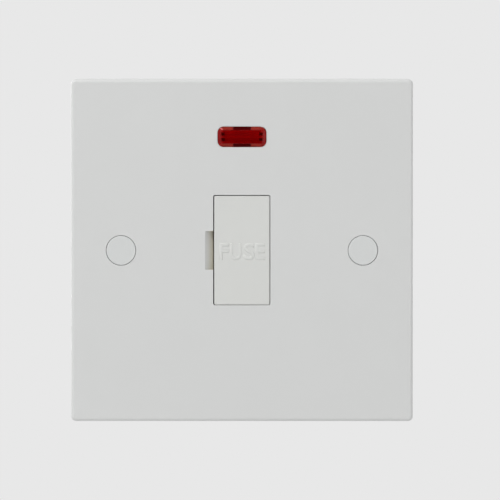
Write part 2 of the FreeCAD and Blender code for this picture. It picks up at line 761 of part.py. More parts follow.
def fuse_clip(label, side):
    """A brass strip folded into a jaw for the fuse's cup, with a tail to the terminal behind it."""
    clip = piece(label)
    half = "fuse_wide / 2 + clip_gap"
    outer = f"{half} + strip"
    bend = "fuse_y - clip_jaw_front"
    lip = f"{bend} - clip_lip_long"
    one_side = [
        (outer, "clip_seat_y"), (outer, bend), (f"{outer} + clip_lip_out", lip),
        (f"{half} + clip_lip_out", lip), (half, bend), (half, "clip_front_y"),
    ]
    other_side = [(f"-({x})", y) for x, y in reversed(one_side)]
    extrude(clip, "jaw", "XY", *spread(side, "clip_in_z", "clip_out_z"),
            [polygon(*one_side, *other_side)])
    heel = f"{side} * clip_out_z"
    heel_inside = f"{side} * (clip_out_z - strip)"
    toe = f"{side} * strip_end_z"
    tail = polygon(
        ("clip_front_y", heel_inside), ("terminal_front_y", heel_inside), ("terminal_front_y", toe),
        ("strip_front_y", toe), ("strip_front_y", heel), ("clip_front_y", heel),
    )
    extrude(clip, "tail", "YZ", "-clip_foot_wide / 2", "clip_foot_wide / 2", [tail])
    rivet_holes(clip, "0", (side,))


def rivet_holes(strip, x, sides):
    """The holes through which a strip is riveted to its terminals."""
    holes = [circle(x, f"{side} * terminal_z", "(rivet_wide + 2 * rivet_gap)") for side in sides]
    extrude(strip, "rivet_holes", "XZ", "strip_front_y", "terminal_front_y", holes, cut=True)


def link(label, column):
    """A flat brass strip that joins the upper and the lower terminal of one column."""
    strip = piece(label)
    x = f"{column} * terminal_x"
    extrude(strip, "strip", "XZ", "strip_front_y", "terminal_front_y",
            [box_about(x, "0", "link_wide", "(2 * strip_end_z)")])
    rivet_holes(strip, x, (-1, 1))


def terminal(label, column, side):
    """A brass pillar terminal: a block with a wire hole through it and a screw hole from behind."""
    block = piece(label)
    x = f"{column} * terminal_x"
    z = f"{side} * terminal_z"
    extrude(block, "block", "XZ", "terminal_front_y", "terminal_back_y",
            [box_about(x, z, "terminal_wide", "terminal_tall")])
    dress(block, "block_edges", "Chamfer", "terminal_bevel", along_axis("Y"))
    extrude(block, "rivet", "XZ", "strip_front_y - rivet_proud", "terminal_front_y",
            [circle(x, z, "rivet_wide")])
    extrude(block, "wire_hole", "XY", f"{z} - terminal_tall / 2", f"{z} + terminal_tall / 2",
            [circle(x, "wire_y", "wire_hole")], cut=True)
    extrude(block, "screw_hole", "XZ", "wire_y", "terminal_back_y",
            [circle(x, z, "(terminal_screw + 2 * thread_gap)")], cut=True)


def slotted_screw(label, x, z, tip, under_head, top, shank, head):
    """A round-headed slotted screw along Y, with its head towards the back."""
    screw = piece(label)
    turn(screw, "screw", "Y", (x, "0", z), [
        ("0", tip),
        (f"{shank} / 2", tip),
        (f"{shank} / 2", under_head),
        (f"{head} / 2", under_head),
        (f"{head} / 2", f"{top} - screw_head_bevel"),
        (f"{head} / 2 - screw_head_bevel", top),
        ("0", top),
    ])
    extrude(screw, "slot", "XZ", f"{top} - screw_slot_deep", top,
            [box_about(x, z, head, "screw_slot_wide")], cut=True)


def terminal_screw(label, column, side):
    """The clamping screw, backed off so that a wire can go in."""
    top = "(housing_back_y - terminal_screw_sunk)"
    slotted_screw(label, f"{column} * terminal_x", f"{side} * terminal_z",
                  "wire_y + wire_hole / 2 + terminal_screw_clear", f"{top} - terminal_screw_head_high",
                  top, "terminal_screw", "terminal_screw_head")


def rear_housing():
    """The moulded base: an open box with pockets, towers and pedestals standing on its floor."""
    housing = piece("rear_housing")
    extrude(housing, "block", "XZ", "housing_front_y", "housing_back_y",
            [rounded_about("0", "0", "(2 * housing_x)", "(2 * housing_z)", "housing_corner")])
    dress(housing, "back_edge", "Fillet", "housing_round", at_level("Y", "housing_back_y"))
    extrude(housing, "bay", "XZ", "housing_front_y", "bay_floor_y",
            [rounded_about("0", "0", "(2 * housing_x - 2 * housing_wall)",
                           "(2 * housing_z - 2 * housing_wall)", "(housing_corner - housing_wall)")],
            cut=True)
    blocks, pockets, heads = [], [], []
    for side in (1, -1):
        for column in (-1, 0, 1):
            x = f"{column} * terminal_x"
            blocks.append(rectangle(f"{x} - pocket_half - pocket_wall", f"{x} + pocket_half + pocket_wall",
                                    *spread(side, "pocket_in_z - pocket_wall",
                                            "housing_z - housing_wall / 2")))
            pockets.append(rectangle(f"{x} - pocket_half", f"{x} + pocket_half",
                                     *spread(side, "pocket_in_z", "pocket_out_z")))
            heads.append(circle(x, f"{side} * terminal_z", "(terminal_screw_head + 2 * head_gap)"))
    extrude(housing, "terminal_towers", "XZ", "terminal_front_y", "bay_floor_y", blocks)
    extrude(housing, "terminal_pockets", "XZ", "terminal_front_y", "terminal_back_y", pockets, cut=True)
    extrude(housing, "screw_access", "XZ", "terminal_back_y", "housing_back_y", heads, cut=True)
    for side, title in ((1, "upper"), (-1, "lower")):
        entries = [circle(f"{column} * terminal_x", "wire_y", "wire_entry") for column in (-1, 0, 1)]
        extrude(housing, f"{title}_wire_entries", "XY", *spread(side, "pocket_out_z", "housing_z"),
                entries, cut=True)
        dress(housing, f"{title}_entry_bevels", "Chamfer", "entry_bevel",
              both(at_level("Z", f"{side} * housing_z"), circle_of("wire_entry")))
    pedestals(housing)
    screw_towers(housing)
    barriers = [rectangle(f"{across} * terminal_x / 2 - barrier_wide / 2",
                          f"{across} * terminal_x / 2 + barrier_wide / 2",
                          *spread(side, "housing_z - housing_wall / 2", "housing_z + barrier_high"))
                for side in (1, -1) for across in (-1, 1)]
    extrude(housing, "wire_barriers", "XZ", "terminal_front_y", "housing_back_y - housing_round", barriers)
    extrude(housing, "back_panel", "XZ", "housing_back_y - panel_deep", "housing_back_y",
            [rounded_about("0", "0", "(2 * tower_x - tower_wide - 2 * panel_margin)", "panel_tall",
                           "panel_corner")], cut=True)
    extrude(housing, "wire_notch", "XZ", "housing_front_y", "housing_front_y + lead_notch_deep",
            [wire_passage("housing_z - 2 * housing_wall", "housing_z + housing_wall")], cut=True)


def pedestals(housing):
    """Two posts that carry the fuse clips, each with a step for the clip's tail."""
    posts, steps = [], []
    for side in (1, -1):
        posts.append(rectangle("-pedestal_wide / 2", "pedestal_wide / 2",
                               *spread(side, "clip_in_z", "pedestal_out_z")))
        steps.append(rectangle("-clip_foot_wide / 2", "clip_foot_wide / 2",
                               *spread(side, "(clip_in_z + pedestal_out_z) / 2",
                                       "pocket_in_z - pocket_wall / 2")))
    extrude(housing, "pedestals", "XZ", "clip_seat_y", "bay_floor_y", posts)
    extrude(housing, "pedestal_steps", "XZ", "terminal_front_y", "bay_floor_y", steps)


def screw_towers(housing):
    """Four towers that meet the plate's posts, each with a screw hole and a sunk seat for the head."""
    spots = corners_of("tower_x", "tower_z")
    extrude(housing, "screw_towers", "XZ", "tower_front_y", "bay_floor_y",
            [circle(x, z, "tower_wide") for x, z in spots])
    extrude(housing, "screw_holes", "XZ", "tower_front_y", "screw_seat_y",
            [circle(x, z, "(housing_screw + 2 * screw_gap)") for x, z in spots], cut=True)
    extrude(housing, "counterbores", "XZ", "screw_seat_y", "housing_back_y",
            [circle(x, z, "(housing_screw_head + 2 * counterbore_gap)") for x, z in spots], cut=True)


def housing_screws():
    for number, (x, z) in enumerate(corners_of("tower_x", "tower_z"), start=1):
        slotted_screw(f"housing_screw_{number}", x, z, "inside_y + pilot_end + housing_screw_tip",
                      "screw_seat_y", "(screw_seat_y + housing_screw_head_high)",
                      "housing_screw", "housing_screw_head")


def main():
    front_plate()
    screw_cap("left_screw_cap", -1)
    screw_cap("right_screw_cap", 1)
    neon_lens()
    neon_lamp()
    neon_resistor()
    neon_leads()
    fuse_carrier()
    fuse_tube()
    fuse_cup("fuse_cap_upper", 1)
    fuse_cup("fuse_cap_lower", -1)
    fuse_clip("load_fuse_clip", 1)
    fuse_clip("supply_fuse_clip", -1)
    link("neutral_link", 1)
    link("earth_link", -1)
    for side, end in ((1, "load"), (-1, "supply")):
        for column, wire in ((-1, "earth"), (0, "line"), (1, "neutral")):
            terminal(f"{end}_{wire}_terminal", column, side)
            terminal_screw(f"{end}_{wire}_screw", column, side)
    rear_housing()
    housing_screws()


main()
document.recompute()
for thing in document.Objects:
    if {"Invalid", "Error"} & set(thing.State):
        raise RuntimeError(f"{thing.Label} is in state {thing.State}")
os.makedirs("parts", exist_ok=True)
for part in pieces:
    if part.Shape.isNull() or not part.Shape.isValid():
        raise RuntimeError(f"{part.Label} has no valid shape")
    part.Shape.exportStep(f"parts/{part.Label}.step")
    print(part.Label, len(part.Shape.Solids), round(part.Shape.Volume, 2))
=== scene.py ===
import bmesh
import bpy
import math
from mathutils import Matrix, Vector


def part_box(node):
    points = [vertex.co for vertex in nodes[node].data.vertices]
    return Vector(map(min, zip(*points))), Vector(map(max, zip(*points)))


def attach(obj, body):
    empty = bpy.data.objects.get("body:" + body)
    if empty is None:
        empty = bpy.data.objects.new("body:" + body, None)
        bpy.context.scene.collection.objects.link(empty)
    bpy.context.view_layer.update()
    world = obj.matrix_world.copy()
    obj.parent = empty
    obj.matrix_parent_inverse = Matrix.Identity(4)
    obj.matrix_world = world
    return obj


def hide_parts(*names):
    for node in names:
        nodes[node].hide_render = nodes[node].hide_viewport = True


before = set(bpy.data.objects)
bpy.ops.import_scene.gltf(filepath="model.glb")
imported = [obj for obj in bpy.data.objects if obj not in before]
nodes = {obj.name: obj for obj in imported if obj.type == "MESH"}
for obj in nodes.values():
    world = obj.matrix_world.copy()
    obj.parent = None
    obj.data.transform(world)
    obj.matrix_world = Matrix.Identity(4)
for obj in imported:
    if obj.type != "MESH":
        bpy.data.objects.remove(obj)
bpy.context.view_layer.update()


# The camera
# It stands straight in front of the plate, a little above it and 2 mm to its right, so that the
# plate lies left of the middle of the picture. A long lens keeps the sides parallel.
camera_aim = Vector((0.0020, -0.0090, 0.0001))
camera_distance = 0.8963
camera_elevation = math.radians(1.2)
camera_lens = 258.9
film_wide = 36
seen_from = 0.05
seen_to = 30


def in_scene(name, data):
    """An object for a camera, lamp, mesh or text, put into the scene."""
    made = bpy.data.objects.new(name, data)
    bpy.context.scene.collection.objects.link(made)
    return made


camera = bpy.data.cameras.new("camera")
camera.lens = camera_lens
camera.sensor_width = film_wide
camera.clip_start = seen_from
camera.clip_end = seen_to
camera_object = in_scene("camera", camera)
toward_camera = Vector((0, -math.cos(camera_elevation), math.sin(camera_elevation)))
camera_object.location = camera_aim + toward_camera * camera_distance
camera_object.rotation_euler = (-toward_camera).to_track_quat("-Z", "Y").to_euler()
bpy.context.scene.camera = camera_object
bpy.context.scene.view_settings.view_transform = "Standard"


# The room
# A plain pale room with the floor below the plate. What the camera and shiny parts see of it
# has one even tone, and close under the object the floor stays matt and keeps its shadow. From
# underneath the floor is clear, so that the unit can be looked at from below.
floor_drop = 0.12
floor_half = 6.0
floor_matt_within = 0.15
floor_even_from = 0.45
room_tone = 232
daylight = 0.46


def paint(red, green, blue):
    """A colour given as it looks on a screen, from 0 to 255."""

    def linear(level):
        share = level / 255
        return share / 12.92 if share <= 0.04045 else ((share + 0.055) / 1.055) ** 2.4

    return (linear(red), linear(green), linear(blue), 1.0)


def wire(tree, source, target):
    tree.links.new(source, target)


def fill(tree, socket, what):
    """Wires another socket to this one, or writes a plain value into it."""
    if isinstance(what, bpy.types.NodeSocket):
        wire(tree, what, socket)
    else:
        socket.default_value = what


def add(tree, kind, **inputs):
    """A new node, its inputs given by name, or by number after an underscore."""
    node = tree.nodes.new(kind)
    for name, what in inputs.items():
        number = name[1:]
        fill(tree, node.inputs[int(number) if number.isdigit() else name.replace("_", " ")], what)
    return node


def math_node(tree, operation, *values):
    node = tree.nodes.new("ShaderNodeMath")
    node.operation = operation
    for socket, what in zip(node.inputs, values):
        fill(tree, socket, what)
    return node.outputs[0]


def ramp_over(tree, value, start, end):
    """Rises smoothly from 0 to 1 as a value goes from start to end."""
    ramp = add(tree, "ShaderNodeMapRange", Value=value)
    ramp.interpolation_type = "SMOOTHSTEP"
    ramp.inputs["From Min"].default_value = start
    ramp.inputs["From Max"].default_value = end
    return ramp.outputs["Result"]


def object_place(tree):
    return tree.nodes.new("ShaderNodeTexCoord").outputs["Object"]


def seen_ray(tree):
    """One where a ray comes from the camera, from a mirror-like surface or through glass."""
    path = tree.nodes.new("ShaderNodeLightPath").outputs
    mirror = math_node(tree, "MAXIMUM", path["Is Camera Ray"], path["Is Glossy Ray"])
    return math_node(tree, "MAXIMUM", mirror, path["Is Transmission Ray"])


def flat_square(name, corners):
    mesh = bpy.data.meshes.new(name)
    mesh.from_pydata(corners, [], [(0, 1, 2, 3)])
    return in_scene(name, mesh)


room_paint = paint(room_tone, room_tone, room_tone)
world = bpy.data.worlds.new("room")
world.use_nodes = True
bpy.context.scene.world = world
tree = world.node_tree
tree.nodes.clear()
lighting = add(tree, "ShaderNodeBackground", Color=(1, 1, 1, 1), Strength=daylight).outputs[0]
looking = add(tree, "ShaderNodeBackground", Color=room_paint, Strength=1.0).outputs[0]
chosen = add(tree, "ShaderNodeMixShader", _0=seen_ray(tree), _1=lighting, _2=looking)
add(tree, "ShaderNodeOutputWorld", Surface=chosen.outputs[0])

floor_corners = [(right * floor_half, back * floor_half, -floor_drop)
                 for right, back in ((-1, -1), (1, -1), (1, 1), (-1, 1))]
floor = flat_square("floor", floor_corners)
floor_finish = bpy.data.materials.new("floor_paint")
floor_finish.use_nodes = True
tree = floor_finish.node_tree
tree.nodes.clear()
away = add(tree, "ShaderNodeVectorMath", _0=object_place(tree))
away.operation = "LENGTH"
far_off = ramp_over(tree, away.outputs["Value"], floor_matt_within, floor_even_from)
matt = add(tree, "ShaderNodeBsdfDiffuse", Color=room_paint).outputs[0]
even = add(tree, "ShaderNodeEmission", Color=room_paint, Strength=1.0).outputs[0]
share = math_node(tree, "MULTIPLY", far_off, seen_ray(tree))
chosen = add(tree, "ShaderNodeMixShader", _0=share, _1=matt, _2=even).outputs[0]
underside = tree.nodes.new("ShaderNodeNewGeometry").outputs["Backfacing"]
clear = tree.nodes.new("ShaderNodeBsdfTransparent").outputs[0]
one_sided = add(tree, "ShaderNodeMixShader", _0=underside, _1=chosen, _2=clear).outputs[0]
add(tree, "ShaderNodeOutputMaterial", Surface=one_sided)
floor.data.materials.append(floor_finish)


# The lamps
# Large soft lamps: the main one high in front and to the left, a weaker one low on the right,
# and a pair behind, so that the back of the unit is lit as plainly as the front. A dark cloth
# hangs behind the camera, so that the lens doesn't mirror a white room.
lamps = (
    # name, place, width, power
    ("key_lamp", (-0.66, -0.74, 1.12), 0.6, 13.0),
    ("fill_lamp", (0.90, -1.00, -0.20), 0.9, 3.2),
    ("back_lamp", (-0.90, 1.20, 0.30), 1.2, 8.0),
    ("back_fill_lamp", (1.10, 1.00, -0.05), 1.0, 3.6),
)
for name, place, across, power in lamps:
    lamp = bpy.data.lights.new(name, "AREA")
    lamp.shape = "SQUARE"
    lamp.size = across
    lamp.energy = power
    lamp_object = in_scene(name, lamp)
    lamp_object.location = place
    lamp_object.rotation_euler = (-Vector(place)).to_track_quat("-Z", "Y").to_euler()


def finish(name, metallic=0.0):
    """A new material with its tree and its principled shader, ready to be wired."""
    material = bpy.data.materials.new(name)
    material.use_nodes = True
    shader = material.node_tree.nodes["Principled BSDF"]
    shader.inputs["Metallic"].default_value = metallic
    return material, material.node_tree, shader


cloth_place = -1.30
cloth_half = 0.22
cloth_corners = [(right * cloth_half, cloth_place, up * cloth_half)
                 for right, up in ((-1, -1), (-1, 1), (1, 1), (1, -1))]
cloth = flat_square("dark_cloth", cloth_corners)
cloth.visible_camera = False
cloth.visible_shadow = False
cloth.visible_diffuse = False
cloth_finish, tree, shader = finish("dark_cloth")
shader.inputs["Base Color"].default_value = paint(18, 18, 18)
shader.inputs["Roughness"].default_value = 1.0
shader.inputs["Specular IOR Level"].default_value = 0.0
cloth.data.materials.append(cloth_finish)


# The front plate
# One piece of white urea moulding, pressed in a polished steel tool: smooth and a little
# glossy in front, with a very faint unevenness that shows only where light grazes it.
COLOUR = "NodeSocketColor"
NUMBER = "NodeSocketFloat"
moulded_depth = 0.000012
moulded_relief = 0.35


def group(name, inputs, outputs):
    """An empty shader node group with its named sockets, its way in and its way out."""
    tree = bpy.data.node_groups.new(name, "ShaderNodeTree")
    for title, kind, preset in inputs:
        socket = tree.interface.new_socket(title, in_out="INPUT", socket_type=kind)
        socket.default_value = preset
    for title, kind in outputs:
        tree.interface.new_socket(title, in_out="OUTPUT", socket_type=kind)
    way_in = tree.nodes.new("NodeGroupInput").outputs
    way_out = tree.nodes.new("NodeGroupOutput").inputs
    return tree, way_in, way_out


def patches(tree, place, size, detail):
    """A noise from 0 to 1 with patches about as wide as a size."""
    scale = math_node(tree, "DIVIDE", 1.0, size)
    return add(tree, "ShaderNodeTexNoise", Vector=place, Scale=scale, Detail=detail).outputs["Fac"]


# Cloudy in colour and gloss over a centimetre or so, and grainy within a millimetre
moulded, given, result = group(
    "moulded_surface",
    (("Colour", COLOUR, (0.7, 0.7, 0.7, 1)), ("Cloudiness", NUMBER, 0.02),
     ("Cloud size", NUMBER, 0.012), ("Gloss", NUMBER, 0.35), ("Gloss change", NUMBER, 0.06),
     ("Grain size", NUMBER, 0.0006)),
    (("Colour", COLOUR), ("Roughness", NUMBER), ("Height", NUMBER)),
)
place = object_place(moulded)
cloud = patches(moulded, place, given["Cloud size"], 3.0)
grain = patches(moulded, place, given["Grain size"], 2.0)
swing = math_node(moulded, "SUBTRACT", cloud, 0.5)
dimmer = math_node(moulded, "MULTIPLY_ADD", swing, given["Cloudiness"], 1.0)
tinted = add(moulded, "ShaderNodeVectorMath", _0=given["Colour"])
tinted.operation = "SCALE"
wire(moulded, dimmer, tinted.inputs["Scale"])
wire(moulded, tinted.outputs[0], result["Colour"])
uneven = math_node(moulded, "ADD", math_node(moulded, "SUBTRACT", grain, 0.5), swing)
gloss = math_node(moulded, "MULTIPLY_ADD", uneven, given["Gloss change"], given["Gloss"])
wire(moulded, gloss, result["Roughness"])
wire(moulded, math_node(moulded, "MULTIPLY_ADD", cloud, 2.0, grain), result["Height"])


def bump(tree, height, shader, distance, strength):
    node = add(tree, "ShaderNodeBump", Strength=strength, Distance=distance, Height=height)
    wire(tree, node.outputs[0], shader.inputs["Normal"])


def surfaced(name, surface_group, settings, depth, relief, metallic=0.0):
    """A material whose colour, gloss and unevenness come from a surface group."""
    material, tree, shader = finish(name, metallic)
    surface = tree.nodes.new("ShaderNodeGroup")
    surface.node_tree = surface_group
    for title, value in settings.items():
        surface.inputs[title].default_value = value
    wire(tree, surface.outputs["Colour"], shader.inputs["Base Color"])
    wire(tree, surface.outputs["Roughness"], shader.inputs["Roughness"])
    bump(tree, surface.outputs["Height"], shader, depth, relief)
    return material


def moulding(name, colour, gloss, cloudiness=0.02, grain_size=0.0006):
    """A moulded plastic or ceramic finish."""
    settings = {"Colour": colour, "Gloss": gloss, "Cloudiness": cloudiness,
                "Grain size": grain_size}
    return surfaced(name, moulded, settings, moulded_depth, moulded_relief)


def dress(material, *names):
    """Gives CAD nodes a material in all their slots."""
    for name in names:
        slots = nodes[name].data.materials
        if not slots:
            slots.append(material)
        for number in range(len(slots)):
            slots[number] = material


def across_and_up(tree):
    """The places along X and Z on the object."""
    parts = add(tree, "ShaderNodeSeparateXYZ", _0=object_place(tree))
    return parts.outputs["X"], parts.outputs["Z"]


def laid_over(tree, share, under, over):
    """The colour that comes of laying a second one over the first by a share from 0 to 1."""
    mix = tree.nodes.new("ShaderNodeMix")
    mix.data_type = "RGBA"
    for number, what in ((0, share), (6, under), (7, over)):
        fill(tree, mix.inputs[number], what)
    return mix.outputs[2]


def tint(tree, share, colour):
    """Lays a second colour over a material's base colour by a share from 0 to 1."""
    base = tree.nodes["Principled BSDF"].inputs["Base Color"]
    wire(tree, laid_over(tree, share, base.links[0].from_socket, colour), base)


# The deep end of the lever notch is painted darker and warmer: painted shade, with a painted warm
# reflection of the brass inside
notch_shallow = -0.0092
notch_deep = -0.0069
notch_half = 0.0049
plate_finish = moulding("white_moulding", paint(215, 216, 215), 0.33)
tree = plate_finish.node_tree
across, up = across_and_up(tree)
inward = ramp_over(tree, across, notch_shallow, notch_deep)
between = math_node(tree, "LESS_THAN", math_node(tree, "ABSOLUTE", up), notch_half)
on_left = math_node(tree, "LESS_THAN", across, 0.0)
painted_notch_shade = math_node(tree, "MULTIPLY", inward, math_node(tree, "MULTIPLY", between, on_left))
# Painted shade and painted warm reflection in the deep end of the notch
tint(tree, painted_notch_shade, paint(212, 206, 190))
dress(plate_finish, "front_plate")


# The screw caps
# Two small discs of the same white moulding, pushed into the recesses over the fixing screws,
# so that they sit flush with the face.
dress(moulding("cap_moulding", paint(213, 215, 214), 0.36), "left_screw_cap", "right_screw_cap")


# The fuse carrier and its word
# The drawer that holds the fuse. Its face carries the word in low raised letters with sloping
# sides, which the mould forms together with the face.
carrier_finish = moulding("carrier_moulding", paint(216, 217, 214), 0.34)
dress(carrier_finish, "fuse_carrier")
carrier_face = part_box("fuse_carrier")[0].y
word_spans = (
    # letter, left end, right end
    ("F", -0.00560, -0.00324),
    ("U", -0.00290, -0.00010),
    ("S", 0.00038, 0.00318),
    ("E", 0.00338, 0.00580),
)
word_bottom = -0.00240
word_top = 0.00180
word_proud = 0.00010
word_sunk = 0.00020
# A letter's own mesh is one unit tall, before it is fitted to its place
letter_slope = 0.030
letter_core = 0.05
letter_weight = -0.006
curve_steps = 5
merge_within = 1e-7


def letter(character, slope):
    """The mesh of one raised letter, lying flat, with sloping sides."""
    glyph = bpy.data.curves.new("letter", "FONT")
    glyph.body = character
    glyph.extrude = letter_core
    glyph.bevel_depth = slope
    glyph.bevel_resolution = 0
    glyph.offset = letter_weight
    glyph.resolution_u = curve_steps
    text = in_scene("letter", glyph)
    bpy.context.view_layer.update()
    ready = text.evaluated_get(bpy.context.evaluated_depsgraph_get())
    mesh = bpy.data.meshes.new_from_object(ready)
    bpy.data.objects.remove(text)
    return mesh


def raised_letters(whole, spans, bottom, top, face_y, toward, proud, slope):
    """Adds letters fitted between places across X, proud of a face that looks along toward * Y."""
    for character, left, right in spans:
        mesh = letter(character, slope)
        points = [vertex.co.copy() for vertex in mesh.vertices]
        low = [min(point[n] for point in points) for n in range(2)]
        high = [max(point[n] for point in points) for n in range(2)]
        for vertex, point in zip(mesh.vertices, points):
            along = (point.x - low[0]) / (high[0] - low[0])
            upward = (point.y - low[1]) / (high[1] - low[1])
            rise = (point.z - letter_core) / slope
            out = rise * proud if rise > 0 else -word_sunk if rise < -1 else 0
            vertex.co = (left + along * (right - left), face_y + toward * out,
                         bottom + upward * (top - bottom))
        whole.from_mesh(mesh)


def closed_piece(name, work):
    """A piece from finished mesh work: doubles merged and every face turned outwards."""
    bmesh.ops.remove_doubles(work, verts=work.verts, dist=merge_within)
    bmesh.ops.recalc_face_normals(work, faces=work.faces)
    mesh = bpy.data.meshes.new(name)
    work.to_mesh(mesh)
    work.free()
    return in_scene(name, mesh)


def coat(piece, material, body):
    """Gives a new piece its material and the body it rides on."""
    piece.data.materials.clear()
    piece.data.materials.append(material)
    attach(piece, body)


word = bmesh.new()
raised_letters(word, word_spans, word_bottom, word_top, carrier_face, -1, word_proud, letter_slope)
coat(closed_piece("fuse_word", word), carrier_finish, "fuse_drawer")


# The fuse in the carrier
# A 25.4 mm cartridge fuse: a ceramic tube with a pressed and nickel plated cup on each end. It
# sits in the back of the drawer and comes out with it.
ceramic = moulding("fuse_ceramic", paint(226, 221, 209), 0.55, cloudiness=0.05, grain_size=0.0003)
dress(ceramic, "fuse_tube")
metal_depth = 0.000006
metal_relief = 0.4
line_stretch = (0.15, 1.0, 1.0)

# Dull in patches over millimetres, with fine lines that the working of the metal has left
metal, given, result = group(
    "worked_metal",
    (("Colour", COLOUR, (0.7, 0.6, 0.3, 1)), ("Dull colour", COLOUR, (0.5, 0.4, 0.25, 1)),
     ("Dullness", NUMBER, 0.35), ("Patch size", NUMBER, 0.002), ("Line size", NUMBER, 0.00008),
     ("Gloss", NUMBER, 0.3), ("Gloss change", NUMBER, 0.25)),
    (("Colour", COLOUR), ("Roughness", NUMBER), ("Height", NUMBER)),
)
place = object_place(metal)
patch = patches(metal, place, given["Patch size"], 4.0)
stretched = add(metal, "ShaderNodeMapping", Vector=place, Scale=line_stretch).outputs[0]
lines = patches(metal, stretched, given["Line size"], 2.0)
dull_share = math_node(metal, "MULTIPLY", patch, given["Dullness"])
dulled = laid_over(metal, dull_share, given["Colour"], given["Dull colour"])
wire(metal, dulled, result["Colour"])
line_swing = math_node(metal, "SUBTRACT", lines, 0.5)
patch_swing = math_node(metal, "MULTIPLY", math_node(metal, "SUBTRACT", patch, 0.5), 0.6)
both = math_node(metal, "ADD", line_swing, patch_swing)
gloss = math_node(metal, "MULTIPLY_ADD", both, given["Gloss change"], given["Gloss"])
wire(metal, gloss, result["Roughness"])
wire(metal, lines, result["Height"])


def metal_finish(name, colour, dull, gloss):
    settings = {"Colour": colour, "Dull colour": dull, "Gloss": gloss}
    return surfaced(name, metal, settings, metal_depth, metal_relief, metallic=1.0)


nickel = metal_finish("nickel_plate", paint(205, 201, 190), paint(170, 164, 150), 0.28)
dress(nickel, "fuse_cap_upper", "fuse_cap_lower")


# The brass parts
# Clips and links are stamped from spring brass strip, and the terminals are sawn from drawn
# brass bar, drilled and tapped. All of it is left bare and has dulled a little.
brass = metal_finish("brass", paint(214, 178, 104), paint(160, 122, 66), 0.3)
ends = ("load", "supply")
wires = ("earth", "line", "neutral")
terminals = [f"{end}_{wire_name}_terminal" for end in ends for wire_name in wires]
dress(brass, "load_fuse_clip", "supply_fuse_clip", "neutral_link", "earth_link", *terminals)


# The screws
# Zinc plated steel: a slotted clamping screw in each terminal, with a fine thread, and four
# coarser ones that hold the housing. Each is turned, slotted and thread rolled, and each has
# come to rest at its own angle.
steel = metal_finish("plated_steel", paint(200, 201, 200), paint(158, 158, 154), 0.26)
tree = steel.node_tree
# The faces inside each screw's slot are painted darker, as painted shade in the slot
painted_slot_shade = tree.nodes.new("ShaderNodeAttribute")
painted_slot_shade.attribute_name = "painted_slot_shade"
tint(tree, math_node(tree, "MULTIPLY", painted_slot_shade.outputs["Fac"], 0.8), paint(104, 102, 96))
round_steps = 28
rings_each_turn = 6
thread_flank = 2.4
tip_taper = 1.6
tip_bevel = 0.7
neck_turns = 0.6
slot_wide = 0.0008
slot_deep = 0.0009
head_high = 0.002
head_crown = 0.00018
crown_turn = 0.3
head_edge = 0.00008
head_bevel = 0.00035
bevel_turn = 0.35
head_middle = 0.0002
past_head = 0.001
sawn_below = 0.0003
sawn_within = 0.0001
hair = 0.00001


def skin(work, rings):
    """Faces between rings of equally many points, with the first and last ring closed."""
    made = [[work.verts.new(point) for point in ring] for ring in rings]
    for ring, following in zip(made, made[1:]):
        for n in range(len(ring)):
            work.faces.new((ring[n], ring[n - 1], following[n - 1], following[n]))
    work.faces.new(made[0])
    work.faces.new(list(reversed(made[-1])))


def solid(name, rings):
    work = bmesh.new()
    skin(work, rings)
    return closed_piece(name, work)


def settled(piece):
    """Turns a piece with a live modifier into its plain finished mesh."""
    bpy.context.view_layer.update()
    ready = piece.evaluated_get(bpy.context.evaluated_depsgraph_get())
    mesh = bpy.data.meshes.new_from_object(ready)
    piece.modifiers.clear()
    piece.data = mesh


def combined(piece, tool, operation):
    """The piece with a tool joined to it or cut out of it; the tool is used up."""
    modifier = piece.modifiers.new("combine", "BOOLEAN")
    modifier.solver = "EXACT"
    modifier.operation = operation
    modifier.object = tool
    settled(piece)
    bpy.data.objects.remove(tool)
    return piece


def rings_along_y(rings):
    """Rings round the Y axis from pairs of a place and a radius, or a radius for each angle."""
    made = []
    for along, radius in rings:
        ring = []
        for step in range(round_steps):
            angle = 2 * math.pi * step / round_steps
            reach = radius(angle) if callable(radius) else radius
            ring.append((reach * math.cos(angle), along, reach * math.sin(angle)))
        made.append(ring)
    return made


def threaded_screw(shank, head, length, pitch, thread_deep):
    """A slotted screw along Y: the head sits on y = 0 and the shank runs towards -Y."""
    root = shank / 2 - thread_deep
    edge = head / 2
    tip = thread_deep * tip_taper
    threaded = length - tip - pitch

    def thread_at(along):
        def radius(angle):
            turn = (along / pitch + angle / (2 * math.pi)) % 1
            return shank / 2 - thread_deep * min(1, thread_flank * abs(turn - 0.5))
        return radius

    rings = [(-length, shank / 2 - tip), (-length + tip * tip_bevel, root)]
    count = int(threaded / pitch * rings_each_turn)
    for number in range(count + 1):
        along = -length + tip + threaded * number / count
        rings.append((along, thread_at(along)))
    rings += [
        (-pitch * neck_turns, root), (-hair, root), (0.0, edge - head_edge), (head_edge, edge),
        (head_high - head_bevel - head_crown, edge),
        (head_high - head_bevel * bevel_turn - head_crown, edge - head_bevel * bevel_turn),
        (head_high - head_crown, edge - head_bevel),
        (head_high - head_crown * crown_turn, head / 4), (head_high, head_middle),
    ]
    screw = solid("screw", rings_along_y(rings))
    low, high = head_high - slot_deep, head_high + past_head
    half = slot_wide / 2
    slot = [(-half, low), (half, low), (half, high), (-half, high)]
    cutter = solid("slot", [[(end, along, side) for side, along in slot] for end in (-head, head)])
    combined(screw, cutter, "DIFFERENCE")
    # Marks the faces inside the slot, which the plated steel darkens as painted shade
    painted_slot_shade_faces = screw.data.attributes.new("painted_slot_shade", "FLOAT", "FACE")
    for face in screw.data.polygons:
        middle = face.center
        between_walls = abs(middle.z) < half + hair
        below_crown = low - hair < middle.y < head_high - sawn_below
        inside_head = math.hypot(middle.x, middle.z) < edge - sawn_within
        painted_slot_shade_faces.data[face.index].value = between_walls and below_crown and inside_head
    return screw


def tree_socket(tree, title):
    """The identifier of a named input of a geometry node tree."""
    return next(item.identifier for item in tree.interface.items_tree
                if item.name == title and item.in_out == "INPUT")


